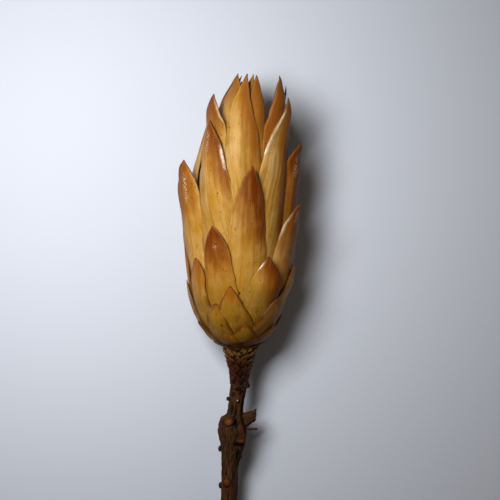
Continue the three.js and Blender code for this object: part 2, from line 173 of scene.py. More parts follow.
def smooth(points, x):
    """The same list run smoothly, with the slope at each point taken from its two neighbours."""
    if x <= points[0][0]:
        return points[0][1]
    if x >= points[-1][0]:
        return points[-1][1]
    last = len(points) - 1
    i = next(k for k in range(1, last + 1) if points[k][0] >= x)

    def slope(k):
        before, after = points[max(k - 1, 0)], points[min(k + 1, last)]
        return (after[1] - before[1]) / (after[0] - before[0])

    (x0, y0), (x1, y1) = points[i - 1], points[i]
    span = x1 - x0
    t = (x - x0) / span
    rise = y0 * (1 + 2 * t) * (1 - t) ** 2 + y1 * t * t * (3 - 2 * t)
    return rise + span * (slope(i - 1) * t * (1 - t) ** 2 - slope(i) * t * t * (1 - t))


def worked(operation, turned=False):
    """What an Amount does as one Math node. Where it is turned, its two parts change places."""
    if turned:
        return lambda self, other: self.recipe.sum(operation, other, self)
    return lambda self, *others: self.recipe.sum(operation, self, *others)


class Amount:
    """A node's output. Working with it as with a number adds the Math nodes that do the same."""

    def __init__(self, recipe, socket):
        self.recipe = recipe
        self.socket = socket

    __add__ = __radd__ = worked("ADD")
    __mul__ = __rmul__ = worked("MULTIPLY")
    __sub__ = worked("SUBTRACT")
    __rsub__ = worked("SUBTRACT", turned=True)
    __truediv__ = worked("DIVIDE")
    __rtruediv__ = worked("DIVIDE", turned=True)
    __pow__ = worked("POWER")
    __abs__ = worked("ABSOLUTE")
    least = worked("MINIMUM")
    most = worked("MAXIMUM")
    sine = worked("SINE")
    cosine = worked("COSINE")

    def __neg__(self):
        return 0 - self

    def ramp(self, low, high):
        """0 below low, 1 above high, smooth between them. high may be the smaller one."""
        share = ((self - low) / (high - low)).most(0).least(1)
        return share * share * (3 - 2 * share)


class Recipe:
    """A node tree, and the one way in which nodes are added to it."""

    def __init__(self, tree):
        self.tree = tree

    def add(self, kind, sockets=None, output=0, **settings):
        """A new node: its settings first, then the values or links of its sockets."""
        made = self.tree.nodes.new(kind)
        for name, setting in settings.items():
            setattr(made, name, setting)
        for key, value in (sockets or {}).items():
            for one in value if isinstance(value, list) else [value]:
                if isinstance(one, Amount):
                    self.tree.links.new(one.socket, made.inputs[key])
                else:
                    made.inputs[key].default_value = one
        return Amount(self, made.outputs[output] if len(made.outputs) else None)

    def sum(self, operation, *parts):
        return self.add("ShaderNodeMath", dict(enumerate(parts)), operation=operation)

    def read(self, points, amount, steps=0):
        """The value of a list at an amount: straight between its points, or smooth in so many steps."""
        first, last = points[0][0], points[-1][0]
        if steps:
            places = [first + (last - first) * i / steps for i in range(steps + 1)]
            points = [(x, smooth(points, x)) for x in places]
        low = min(y for _, y in points)
        high = max(y for _, y in points)
        shares = [((x - first) / (last - first), (y - low) / (high - low)) for x, y in points]
        share = ((amount - first) / (last - first)).most(0).least(1)
        curve = self.add("ShaderNodeFloatCurve", {"Value": share})
        mapping = curve.socket.node.mapping
        knots = mapping.curves[0].points
        knots[0].location, knots[1].location = shares[0], shares[-1]
        for place in shares[1:-1]:
            knots.new(*place)
        for knot in knots:
            knot.handle_type = "VECTOR"
        mapping.update()
        return curve * (high - low) + low

    def vector(self, x, y, z):
        return self.add("ShaderNodeCombineXYZ", {0: x, 1: y, 2: z})

    def noise(self, x, y, z, detail=2.0, rough=0.5):
        return self.noise_at(self.vector(x, y, z), detail, rough)

    def noise_at(self, place, detail, rough=0.5):
        sockets = {"Vector": place, "Scale": 1.0, "Detail": detail, "Roughness": rough}
        return self.add("ShaderNodeTexNoise", sockets, noise_dimensions="3D")

    def attributes(self, *names):
        return [self.attribute(name) for name in names]


class Finish(Recipe):
    """A material, made of the values that its piece keeps on its surface."""

    def __init__(self, name):
        self.material = bpy.data.materials.new(name)
        self.material.use_nodes = True
        super().__init__(self.material.node_tree)
        self.tree.nodes.clear()

    def attribute(self, name):
        return self.add("ShaderNodeAttribute", output="Fac", attribute_name=name)

    def layers(self, colour, *layers):
        """A colour with others laid over it in turn, each with the share of it that shows."""
        for share, over in layers:
            sockets = {0: share}
            for key, one in ((6, colour), (7, over)):
                sockets[key] = one if isinstance(one, Amount) else (*one, 1)
            colour = self.add("ShaderNodeMix", sockets, output=2, data_type="RGBA", clamp_factor=True)
        return colour

    def fixed_noise(self, fineness, detail=2.0):
        """Noise that is fixed to the piece, with its fineness per metre along X, Y and Z."""
        where = self.add("ShaderNodeTexCoord", output="Object")
        scaled = self.add("ShaderNodeVectorMath", {0: where, 1: fineness}, operation="MULTIPLY")
        return self.noise_at(scaled, detail)

    def end(self, relief, strength, depth, colour, roughness, **looks):
        """Ends the material in one shader, over a relief of this strength and depth."""
        sockets = {"Strength": strength, "Distance": depth * MM, "Height": relief}
        bump = self.add("ShaderNodeBump", sockets)
        looks |= {"Base Color": colour, "Roughness": roughness, "Normal": bump}
        self.add("ShaderNodeOutputMaterial", {"Surface": self.add("ShaderNodeBsdfPrincipled", looks)})
        return self.material


class Growth(Recipe):
    """A Geometry Nodes tree whose inputs are named sizes."""

    def __init__(self, name, sizes):
        super().__init__(bpy.data.node_groups.new(name, "GeometryNodeTree"))
        self.sizes = sizes
        self.identifiers = {}
        new_socket = self.tree.interface.new_socket
        for way in ("INPUT", "OUTPUT"):
            new_socket("Geometry", in_out=way, socket_type="NodeSocketGeometry")
        for label, size in sizes.items():
            kind = "NodeSocketInt" if isinstance(size, int) else "NodeSocketFloat"
            self.identifiers[label] = new_socket(label, in_out="INPUT", socket_type=kind).identifier
        self.points = self.add("NodeGroupInput", output="Geometry")

    def size(self, label):
        return Amount(self, self.points.socket.node.outputs[label])

    def attribute(self, name):
        return self.add("GeometryNodeInputNamedAttribute", {"Name": name}, data_type="FLOAT")

    def store(self, geometry, **values):
        """Keeps these values on the surface, for the material to read."""
        for name, value in values.items():
            sockets = {"Geometry": geometry, "Name": name, "Value": value}
            kind = "GeometryNodeStoreNamedAttribute"
            geometry = self.add(kind, sockets, data_type="FLOAT", domain="POINT")
        return geometry

    def block(self, across, along):
        """A closed block of faces, 1 in size, for a formula to shape."""
        sockets = {"Vertices X": self.size(across), "Vertices Y": self.size(along), "Vertices Z": 2}
        return self.add("GeometryNodeMeshCube", {"Size": (1, 1, 1), **sockets})

    def tube(self, caps=1):
        """A closed upright tube with radius 1 and height 1, for a formula to shape."""
        sockets = {"Vertices": self.size("Sides"), "Side Segments": self.size("Rings")}
        sockets |= {"Fill Segments": caps, "Radius": 1.0, "Depth": 1.0}
        return self.add("GeometryNodeMeshCylinder", sockets, fill_type="TRIANGLE_FAN")

    def spread(self, shape, selection=None):
        """One real copy of the shape for each point, which keeps that point's attributes."""
        sockets = {"Points": self.points, "Instance": shape}
        if selection:
            sockets["Selection"] = selection
        copies = self.add("GeometryNodeInstanceOnPoints", sockets)
        return self.add("GeometryNodeRealizeInstances", {"Geometry": copies})

    def place(self):
        """Where a point of the copied shape is in that shape."""
        position = self.add("GeometryNodeInputPosition")
        split = self.add("ShaderNodeSeparateXYZ", {0: position}).socket.node
        return [Amount(self, socket) for socket in split.outputs]

    def around(self, radius, angle, aside, height, sag=0):
        """The place at this radius and azimuth round an axis that stands aside and sags there."""
        return self.vector(radius * angle.sine() + aside, height, radius * angle.cosine() + sag)

    def round_place(self):
        """Azimuth, share of the way from top to bottom, and share of the radius, on a tube."""
        x, y, z = self.place()
        return self.sum("ARCTAN2", -x, y), 0.5 - z, (x * x + y * y) ** 0.5

    def sideways(self, height):
        """How far the upper head leans over at a height."""
        return LEAN * ((height - LEAN_FROM) / LEAN_OVER).most(0) ** LEAN_POWER

    def fuller(self, height, angle):
        """How much fuller than its outline the lower head is there."""
        left, right = self.read(FULLER_LEFT, height), self.read(FULLER_RIGHT, height)
        full = left + (right - left) * angle.sine().ramp(LEFT_SIDE, RIGHT_SIDE)
        return full * angle.cosine().ramp(REST_SIDE, FREE_SIDE)

    def lie_down(self, geometry, position, material):
        """Ends the tree: shapes the piece, lays it down and flattens it where the flower rests."""
        shaped = self.add("GeometryNodeSetPosition", {"Geometry": geometry, "Position": position})
        sockets = {
            "Geometry": shaped, "Translation": tuple(MM * part for part in HEAD_BASE),
            "Rotation": (LIE_SLOPE, 0, 0), "Scale": (MM, MM, MM),
        }
        lying = self.add("GeometryNodeTransform", sockets)
        x, y, z = self.place()
        sockets = {"Geometry": lying, "Position": self.vector(x, y, z.most(0))}
        pressed = self.add("GeometryNodeSetPosition", sockets)
        soft = self.add("GeometryNodeSetShadeSmooth", {"Geometry": pressed, "Shade Smooth": True})
        dressed = self.add("GeometryNodeSetMaterial", {"Geometry": soft, "Material": material})
        self.add("NodeGroupOutput", {"Geometry": dressed})

    def grow(self, name, points=({"number": 0},)):
        """Runs the tree on points that carry these attributes, and returns the piece as a plain mesh."""
        mesh = bpy.data.meshes.new(name)
        mesh.from_pydata([(0, 0, 0)] * len(points), [], [])
        for label in points[0]:
            layer = mesh.attributes.new(label, "FLOAT", "POINT")
            layer.data.foreach_set("value", [float(point[label]) for point in points])
        piece = bpy.data.objects.new(name, mesh)
        bpy.context.scene.collection.objects.link(piece)
        modifier = piece.modifiers.new("growth", "NODES")
        modifier.node_group = self.tree
        for label, size in self.sizes.items():
            modifier[self.identifiers[label]] = size
        graph = bpy.context.evaluated_depsgraph_get()
        grown = bpy.data.meshes.new_from_object(piece.evaluated_get(graph))
        piece.modifiers.remove(modifier)
        piece.data = grown
        grown.name = name
        return piece


def eased(x, low, high):
    """What ramp does, on a plain number."""
    share = min(max((x - low) / (high - low), 0), 1)
    return share * share * (3 - 2 * share)


def fuller(height, azimuth):
    """What the tree's own fuller does, on plain numbers."""
    turn = math.radians(azimuth)
    left, right = between(FULLER_LEFT, height), between(FULLER_RIGHT, height)
    full = left + (right - left) * eased(math.sin(turn), LEFT_SIDE, RIGHT_SIDE)
    return full * eased(math.cos(turn), REST_SIDE, FREE_SIDE)


def core_radius(height):
    """Radius of the dark middle of the head, which the bracts stand out of."""
    over = max(0, (height - CORE_SHOULDER) / (CORE_TOP - CORE_SHOULDER))
    return max(0.0, (smooth(HEAD_OUTLINE, height) - CORE_BELOW_OUTLINE) * math.sqrt(max(0, 1 - over * over)))


CORE_OUTLINE = [(height, core_radius(height)) for height in range(0, CORE_TOP + 1, 2)]


def bract_sizes(number):
    """What is a bract's own: its place, its shape and its marks, from the rule or from the lists above."""
    azimuth = SPIRAL_START + SPIRAL_STEP * number
    ruled_tip = between(TIP_HEIGHTS, number)
    ruled_radius = smooth(HEAD_OUTLINE, ruled_tip) + fuller(ruled_tip, azimuth)
    ruled_place = (ruled_tip, azimuth, ruled_radius, azimuth)
    tip, tip_azimuth, tip_radius, root_azimuth = OWN_TIPS.get(number, ruled_place)
    shortest = SHORTEST_INNER_BRACT if number >= INNER_FROM else SHORTEST_BRACT
    covered = tip - between(TIP_HEIGHTS, number - COVERED_BY)
    longest = tip - ROOT_ABOVE_BASE
    length = min(max(covered, shortest), longest)
    half_width = between(HALF_WIDTHS, number)
    ruled_widths = (half_width, half_width * between(TAPERS, number), WIDENS)
    sizes = {
        "number": number, "large": number >= FIRST_LARGE_BRACT, "tip": tip, "root_azimuth": root_azimuth,
        "tip_turn": (tip_azimuth - root_azimuth + 540) % 360 - 180,
        "flare": tip_radius - smooth(HEAD_OUTLINE, tip) - fuller(tip, tip_azimuth),
        "length": length, "buried": min(BURIED_LENGTH, longest - length),
    }
    for names, own, ruled in (
        (("half_width", "taper", "widens"), OWN_WIDTHS, ruled_widths),
        (("browned", "dark"), BROWNING, LOW_BROWNING if number < 0 else RULED_BROWNING),
        (("curl_left", "curl_right", "curl_from", "curl_to"), CURLED, NOT_CURLED),
        (("keel", "keel_at"), KEELED, RULED_KEEL),
        (("beads_from", "beads_to"), BEADED, NOT_BEADED),
    ):
        sizes.update(zip(names, own.get(number, ruled)))
    singles = {"browner_right": BROWNER_AND_SHADED_RIGHT, "bleached": PAINTED_SHEEN, "bulge": BULGING, "tilt": TILTED}
    sizes.update({name: own.get(number, 0) for name, own in singles.items()})
    return sizes


def bract_finish():
    """Straw that browns to orange and maroon at the tip, with ribs, specks and wax, and painted sheen,
    margin highlights, glints and shade.
    """
    wax = Finish("waxy_bract")
    number, across, down, edge = wax.attributes("number", "across_mm", "down_mm", "edge_mm")
    height, curled, keel_wax, browned = wax.attributes("height_mm", "curled", "beaded", "browned")
    dark, browner_right, bleached = wax.attributes("dark", "browner_right", "bleached")
    own = number * NOISE_STEP

    def grain(fine_across, fine_down, detail=2.0, rough=0.5, shift=0):
        """Noise drawn out down the blade, and different on each bract."""
        depth = own + shift if shift else own
        return wax.noise(across * fine_across + own, down * fine_down, depth, detail, rough)

    ribs, fine_ribs = grain(0.8, 0.04, 3.0), grain(4.5, 0.12)
    clouds, blotches = grain(0.22, 0.09, 3.0), grain(0.7, 0.35, 4.0)
    mottle, greyed = grain(0.24, 0.16, 3.0, 0.55, shift=9), grain(0.45, 0.06, shift=40)
    dust, scratches = grain(3.2, 2.6, rough=0.7), grain(1.7, 0.5, 3.0, 0.7, shift=21)
    beads = grain(2.2, 2.2)
    sockets = {"Vector": wax.vector(across + own, down, own), "Scale": 0.6, "Randomness": 1.0}
    grains = wax.add("ShaderNodeTexVoronoi", sockets, feature="F1")
    speck_size = wax.noise(across * 0.3, down * 0.3, own + 5, 0.0)
    specks = grains.ramp(0.17, 0.09) * speck_size.ramp(0.50, 0.58)
    beaded = keel_wax * beads.ramp(0.48, 0.62)

    low = height.ramp(31, 10)
    # where the painted sheen lies: the left shoulder, below the brown tip
    shoulder = across.ramp(1.5, -3) * down.ramp(10, 22) * down.ramp(38, 22)
    # partly real browning, partly painted shade on the side away from the light
    browner_and_shaded_toward_right = (across / 5).least(1).most(-1) * browner_right
    reach = down / browned + (clouds - 0.5) * 0.7 + (ribs - 0.5) * 0.45 - browner_and_shaded_toward_right
    browning = reach.ramp(1.0, 0.12)
    orange = wax.layers(ORANGE, (height.ramp(60, 90), TOP_ORANGE), (height.ramp(22, 8), LOW_ORANGE))
    pale_ribs = fine_ribs.ramp(0.52, 0.75) * (0.26 - low * 0.16) * (1 - browning * 0.5)
    patchy = 0.25 + 0.75 * blotches.ramp(0.35, 0.6)
    margin_highlight = curled.ramp(0.0, 0.8) * edge.ramp(1.2 + curled * 1.3, 0.3) * patchy
    marks = []
    for marked_bract, mark_across, mark_down, mark_radius in MARKS:
        aside, along = across - mark_across, down - mark_down
        other = (number - marked_bract) * OTHER_BRACT_AWAY
        away = (aside * aside + along * along + other * other) ** 0.5
        marks.append((away.ramp(mark_radius, mark_radius * 0.6) * 0.95, DARK_MARK))
    colour = wax.layers(
        STRAW,
        (clouds.ramp(0.3, 0.7), PALE_STRAW),
        (blotches.ramp(0.42, 0.75), GOLD),
        # painted sheen: cream laid where the light from the upper left gleams on the wax
        (bleached * shoulder * clouds.ramp(0.3, 0.55), SHEEN_CREAM),
        (low * 0.9, OCHRE),
        (mottle.ramp(0.52, 0.68) * low * 0.7, DARK_OCHRE),
        (mottle.ramp(0.46, 0.32) * low * 0.7, PALE_OCHRE),
        (browning * 0.92, orange),
        ((reach.ramp(0.95, 0.0) * dark * 1.15).least(1), RED_BROWN),
        (ribs.ramp(0.48, 0.32) * 0.5, STREAK_BROWN),
        (greyed.ramp(0.50, 0.68) * height.ramp(34, 52) * (1 - browning * 0.8) * 0.45, FADED_STRAW),
        (pale_ribs, PALE_RIB),
        (dust.ramp(0.57, 0.70) * 0.35, DUST),
        (edge.ramp(1.0, 0.2) * (1 - browning * 0.7) * height.ramp(26, 50) * 0.4, PALE_MARGIN),
        # painted highlight along the curled margins
        (margin_highlight * 0.8, PAINTED_MARGIN_HIGHLIGHT),
        # partly real stain, partly painted shade where the lower bracts' margins press on those below
        (edge.ramp(2.8, 0.4) * low * blotches.ramp(0.38, 0.60) * 0.85, MARGIN_STAIN_AND_SHADE),
        # darker toward the head's base
        (height.ramp(9, 0.5) * (0.35 + blotches * 0.7), DARKER_AT_BASE),
        # thin dark rim on every margin, partly real and partly painted shade in the gaps between bracts
        (edge.ramp(0.22 + low * 1.1, 0.0) * (0.6 + low * 0.35), DARK_RIM_AND_SHADE),
        (scratches.ramp(0.60, 0.72) * 0.55, DARK_SCRATCH),
        (scratches.ramp(0.38, 0.28) * (0.3 - browning * 0.2), PALE_SCRATCH),
        (specks * 0.85, SPECK),
        # pale wax beads, partly painted glints
        (beaded * 0.6, WAX_BEAD_GLINT),
        *marks,
        (down.ramp(1.1, 0.2) * 0.8, DRY_POINT),
    )

    relief = ribs * 0.5 + fine_ribs * 0.25 + blotches * 0.15 + beads * (0.1 + margin_highlight * 0.9) + beaded * 0.5
    roughness = 0.42 + (blotches - 0.5) * 0.25 + browning * 0.06 + specks * 0.3 + low * 0.1
    rubbed = edge.ramp(0.9, 0.3) * blotches.ramp(0.55, 0.7)
    return wax.end(relief, 0.4, 0.5, colour, roughness - margin_highlight * 0.1 - beaded * 0.1, **{
        "Coat Weight": beaded * 0.8 + margin_highlight * 0.6 + rubbed * 0.15, "Coat Roughness": 0.16,
        "IOR": 1.28, "Specular IOR Level": 0.36, "Specular Tint": (1.0, 0.72, 0.32, 1.0),
        "Subsurface Weight": 0.18, "Subsurface Scale": 1.5 * MM, "Subsurface Radius": (1.0, 0.45, 0.15),
    })


def shape_bracts(tree):
    """Each point of a blade, from how far across, down and deep it is in it, as on the real head."""
    own = tree.attribute
    number, length, half_width, large = tree.attributes("number", "length", "half_width", "large")
    big = tree.block("Faces across", "Faces along")
    small = tree.block("Faces across a small one", "Faces along a small one")
    both = [tree.spread(big, large), tree.spread(small, 1 - large)]
    blades = tree.add("GeometryNodeJoinGeometry", {0: both})
    x, y, z = tree.place()
    even = x * 2
    across = even * (1 + COLUMNS_CROWD - COLUMNS_CROWD * even * even)
    deep = 0.5 - z
    from_tip = (length + own("buried")) * (0.5 - y) ** DOWN_POWER
    down = (from_tip / length).least(1)
    height = own("tip") - from_tip

    pointed = (from_tip / own("taper")).least(1)
    half = POINT_HALF_WIDTH + (half_width - POINT_HALF_WIDTH) * (1 - (1 - pointed) ** own("widens"))
    side = tree.sum("SIGN", across)
    uneven = tree.noise(from_tip * 0.22, side * 5, number * 3.7) - 0.5
    half = half * (1 + uneven * tree.size("Margin unevenness"))
    half = half * (1 + BURIED_WIDER * (from_tip / length).ramp(0.35, 1.0))
    width = across * half
    edge = (1 - abs(across)) * half
    rim = edge.ramp(0.5, 0.0)

    bend = (1 - from_tip / (length * FLARE_REACH)).most(0) ** 2
    step = tree.read(LAYER_STEPS, height)
    number_there = tree.read([(tip, i) for i, tip in TIP_HEIGHTS], height)
    layer = (step * (number - number_there)).most(0)
    outline = tree.read(HEAD_OUTLINE, height, HEAD_READ_STEPS) + own("flare") * bend
    middle = (outline - layer * (1 - bend * FLARE_FLATTENS)).most(LEAST_RADIUS)
    drop = EDGE_DROP * step * across * across * (half / half_width)

    seed = number * NOISE_STEP
    body = step / LAYER_STEPS[-1][1]
    ribs = tree.noise(width * 0.5 + seed, from_tip * 0.03, seed)
    waves = tree.noise(width * 0.16 + seed, from_tip * 0.07, seed + 3, 1.0)
    hollow = tree.size("Rib height") * (1 - ribs) + tree.size("Wave height") * (1 - waves)
    hollow = hollow * body * from_tip.ramp(0.5, 5)
    keel_off = across - own("keel_at")
    keel = own("keel") * ((keel_off * keel_off + KEEL_ROUNDING) ** 0.5) * from_tip.ramp(1, 8) * body
    bead_window = (from_tip - own("beads_from")).ramp(-1, 1) * (own("beads_to") - from_tip).ramp(-1, 1)
    beaded = (abs(keel_off) * half).ramp(1.0, 0.2) * bead_window
    left = own("curl_left") * (1 - across).ramp(1.0, 2.0)
    right = own("curl_right") * (1 + across).ramp(1.0, 2.0)
    into, out_of = from_tip - own("curl_from"), own("curl_to") - from_tip
    curled = (left + right) * into.ramp(-2, 2) * out_of.ramp(-2, 2)
    curl = curled * edge.ramp(2.6, 0.2) * body * CURL_HEIGHT
    bulge = own("bulge") * from_tip.ramp(0, 6) * from_tip.ramp(20, 7)
    tilt = own("tilt") * width * (1 - down).ramp(0, 0.5)
    front = middle - drop - hollow - keel + curl + bulge + tilt - rim * RIM_DROP

    thickness = tree.size("Blade thickness") * (1 - rim) + tree.size("Rim thickness") * rim
    thin = front - thickness * (0.4 + 0.6 * from_tip.ramp(0, 3))
    sunk = tree.read(CORE_OUTLINE, height) - SUNK_IN_CORE
    filled = (front - BLADE_DEEPEST).most(thin.least(sunk))
    back = thin + (filled - thin) * (from_tip / FREE_LENGTH).least(1) * edge.ramp(0.2, UNDERCUT)
    turn = own("tip_turn") * (1 - down)
    angle = (own("root_azimuth") + turn) * DEGREE + width / middle
    radius = front + (back - front) * deep + tree.fuller(height, angle)
    position = tree.around(radius, angle, tree.sideways(height), height)
    kept = tree.store(
        blades, across_mm=width, down_mm=from_tip, edge_mm=edge, height_mm=height, curled=curled,
        beaded=beaded,
    )
    tree.lie_down(kept, position, waxy_bract)


waxy_bract = bract_finish()
bracts_tree = Growth("bracts", {
    "Faces across": 22, "Faces along": 46, "Faces across a small one": 12, "Faces along a small one": 24,
    "Blade thickness": 0.75, "Rim thickness": 0.3, "Rib height": 0.22, "Wave height": 0.6,
    "Margin unevenness": 0.3,
})
shape_bracts(bracts_tree)
bracts = bracts_tree.grow("bracts", [bract_sizes(number) for number in range(FIRST_BRACT, LAST_BRACT + 1)])
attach(bracts, "root")
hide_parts("flower_head")

# The middle of the head, the receptacle and the dried florets on it. It only shows deep between the bracts,
# which all grow out of it, and its dark maroon brown is partly painted shade for that depth.
CORE_FOOT, CORE_HIGHEST, CORE_LOWER, CORE_LEAST_RADIUS = 0.6, 83.8, 2.2, 0.2
HAIR_FINENESS = (2200, 160, 2200)
DARK_HUSK_AND_SHADE, PALE_HUSK = (0.035, 0.01, 0.004), (0.12, 0.04, 0.012)


def husk_finish():
    """Matt maroon brown, in fine hairs that run up the head."""
    husk = Finish("dark_husk")
    hairs = husk.fixed_noise(HAIR_FINENESS)
    colour = husk.layers(DARK_HUSK_AND_SHADE, (hairs.ramp(0.35, 0.65), PALE_HUSK))
    return husk.end(hairs, 0.6, 0.4, colour, 0.8)


def shape_core(tree):
    """A tufted roll, a little inside the core that the blades' backs are sunk in."""
    roll = tree.spread(tree.tube())
    azimuth, share, rim = tree.round_place()
    height = CORE_FOOT + (CORE_HIGHEST - CORE_FOOT) * (1 - share)
    tufts = tree.noise(azimuth.sine() * 9, height * 0.5, azimuth.cosine() * 9)
    radius = tree.read(CORE_OUTLINE, height) - CORE_LOWER - tree.size("Tuft height") * tufts
    radius = rim * (radius + tree.fuller(height, azimuth)).most(CORE_LEAST_RADIUS)
    position = tree.around(radius, azimuth, tree.sideways(height), height)
    tree.lie_down(roll, position, dark_husk)


dark_husk = husk_finish()
core_tree = Growth("core", {"Sides": 48, "Rings": 60, "Tuft height": 0.3})
shape_core(core_tree)
head_core = core_tree.grow("head_core")
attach(head_core, "root")
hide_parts("flower_head")

# The stem. It is one woody shoot with fibrous dark bark, a swollen joint where a side shoot broke off,
# and a bow that takes its cut end down to the table. It grew from the plant and was cut with shears.
# Its sizes go by the distance below the head.
STEM_TOP, STEM_END = -1.4, 100
STEM_RADII = [
    (-1.4, 5.5), (0.3, 5.7), (4.8, 4.6), (8.4, 3.75), (11.3, 3.4), (15, 3.4), (17.6, 3.3), (23, 3.3),
    (24.7, 3.5), (25.8, 4.5), (27.8, 5.1), (31.3, 5.7), (35.7, 4.95), (39.7, 4.1), (43.6, 3.4),
    (51.6, 3.25), (62, 3.1), (80, 3.1), (100, 3.15),
]
STEM_SIDEWAYS = [
    (-1.4, 0), (0.3, 0), (11.3, -0.25), (17.6, -0.9), (23, -1.6), (24.7, -1.9), (25.8, -2.8), (31.3, -2.7),
    (35.7, -2.7), (39.7, -3.1), (43.6, -3.65), (51.6, -3.95), (80, -5.6), (100, -6.6),
]
STEM_BOW = 4.7
STEM_READ_STEPS = 150
BARK_RIDGES, BARK_RIDGE_HEIGHT, BARK_TWIST, BARK_STANDS_OUT, HOLLOW_RELIEF = 5, 0.045, 0.11, 0.25, 0.8
# Hollows in the bark: distance below the head, azimuth, half size across and along, and depth.
HOLLOWS = [
    (27.7, 21, 0.75, 1.3, 1.5), (21.6, 60, 0.8, 3.4, 1.2), (35.6, 34, 1.9, 0.6, 0.9),
    (24.6, 4, 0.5, 1.8, 0.6), (29.4, 58, 0.5, 2.0, 0.7), (16.6, 30, 0.9, 0.6, 0.8),
    (12.6, -20, 0.8, 0.6, 0.4), (17.2, -38, 0.8, 0.7, 0.6), (22.8, -30, 0.5, 1.4, 0.5),
    (39.8, 42, 0.6, 1.6, 0.8), (42.6, 66, 0.5, 1.2, 0.6),
]
BARK_GAP, BARK_BROWN, BARK_RED = (0.005, 0.002, 0.001), (0.07, 0.03, 0.008), (0.07, 0.016, 0.004)
BARK_PALE_RIDGE, BARK_HOLLOW_SHADE, NECK_RED = (0.19, 0.105, 0.04), (0.006, 0.002, 0.001), (0.045, 0.008, 0.002)
CUT_WOOD, PALE_CUT_WOOD = (0.3, 0.19, 0.09), (0.48, 0.35, 0.19)
MATT = {"Specular IOR Level": 0.12}


def stem_centre(tree, below):
    """How far the stem's axis stands aside, and how far it sags."""
    sideways = tree.read(STEM_SIDEWAYS, below, STEM_READ_STEPS)
    sag = below * below * (-STEM_BOW / STEM_END ** 2)
    return sideways, sag


def bark_finish(name, reddish):
    """Dark brown wood in long fibres, with red patches, paler grey on raised ridges and painted shade in
    hollows. The neck is redder.
    """
    bark = Finish(name)
    round_x, round_z, below, relief, cut = bark.attributes("round_x", "round_z", "below", "relief", "cut")
    fibres = bark.noise(round_x * 2.4, round_z * 2.4, below * 0.16, 4.0, 0.65)
    fine = bark.noise(round_x * 6.5, round_z * 6.5, below * 0.5, 3.0, 0.6)
    patches = bark.noise(round_x * 0.35, round_z * 0.35, below * 0.22)
    colour = bark.layers(
        BARK_GAP,
        (fibres.ramp(0.36, 0.64), BARK_BROWN),
        (patches.ramp(0.5, 0.68) * reddish, BARK_RED),
        # paler grey on the raised ridges
        (relief.ramp(0.55, 0.9) * fine.ramp(0.45, 0.7) * 0.75, BARK_PALE_RIDGE),
        # painted shade: near black in the bark's hollows and deepest fibres
        (relief.ramp(0.44, 0.2) * 0.9, BARK_HOLLOW_SHADE),
        (below.ramp(20, 12) * fine.ramp(0.3, 0.6) * 0.6, NECK_RED),
        (cut, bark.layers(CUT_WOOD, (fine.ramp(0.35, 0.7), PALE_CUT_WOOD))),
    )
    return bark.end(fibres * 0.55 + fine * 0.45, 0.8, 0.35, colour, 0.62 + fine * 0.25, **MATT)


def shape_stem(tree):
    """A twisted, ribbed shoot, with fibres, knots and hollows sunk into its bark."""
    shoot = tree.spread(tree.tube(caps=5))
    azimuth, share, rim = tree.round_place()
    below = STEM_TOP + (STEM_END - STEM_TOP) * share
    radius = tree.read(STEM_RADII, below, STEM_READ_STEPS)
    ridge = 1 + BARK_RIDGE_HEIGHT * (BARK_RIDGES * (math.pi - azimuth) + BARK_TWIST * below).sine()
    round_x, round_z = radius * azimuth.sine(), radius * azimuth.cosine()
    fibres = tree.noise(round_x * 1.5, round_z * 1.5, below * 0.13, 3.0, 0.6)
    knots = tree.noise(round_x * 0.75, round_z * 0.75, below * 0.62)
    fine = tree.noise(round_x * 3.5, round_z * 3.5, below * 0.9)
    knotty = below.ramp(6, 10) * (1 - 0.65 * below.ramp(36, 48))
    hollow = tree.size("Fibre depth") * (1 - fibres) + tree.size("Fine depth") * (1 - fine)
    hollow = hollow + tree.size("Knot height") * knotty * (1 - knots)
    relief = fibres * 0.45 + knots * knotty * 0.35 + fine * 0.2 + (1 - knotty) * 0.175
    for hole_below, hole_azimuth, across, along, depth in HOLLOWS:
        turn = (azimuth - math.radians(hole_azimuth)) * radius / across
        run = (below - hole_below) / along
        dip = 1 / (1 + (turn * turn + run * run) ** 2)
        hollow = hollow + dip * depth
        # the hollows lower the relief, which the bark's colour paints dark as shade
        relief = relief - dip * HOLLOW_RELIEF
    full = rim * (radius * ridge - hollow * rim + BARK_STANDS_OUT)
    sideways, sag = stem_centre(tree, below)
    cut = (1 - rim).ramp(0.01, 0.12)
    kept = tree.store(
        shoot, round_x=round_x * rim, round_z=round_z * rim, below=below, relief=relief, cut=cut,
    )
    tree.lie_down(kept, tree.around(full, azimuth, sideways, -below, sag), dark_bark)


dark_bark = bark_finish("dark_bark", 0.75)
stem_tree = Growth("stem", {
    "Sides": 96, "Rings": 330, "Fibre depth": 0.4, "Knot height": 0.8, "Fine depth": 0.22,
})
shape_stem(stem_tree)
stem = stem_tree.grow("stem_wood")
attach(stem, "root")
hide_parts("stem")

# The small scales of the neck, the last leaf-like bracts below the head. They are thin, brown and
# pointed, lie like roof tiles in the same spiral as the bracts, and grow out of the stem.
SCALE_COUNT, SCALES_TO, SCALE_SPREAD = 132, 13.6, 1.05
SCALE_FULL_SIZE_RADIUS, SCALE_SIZE_POWER, SCALE_TIP_ABOVE = 4.6, 0.75, 1.2
# How unevenly they grow: in size, in degrees round the neck, and in millimetres along it.
SCALE_LEAST_SIZE, SCALE_SIZES_DIFFER, SCALES_TURNED, SCALES_SHIFTED = 0.7, 0.6, 34, 2.2
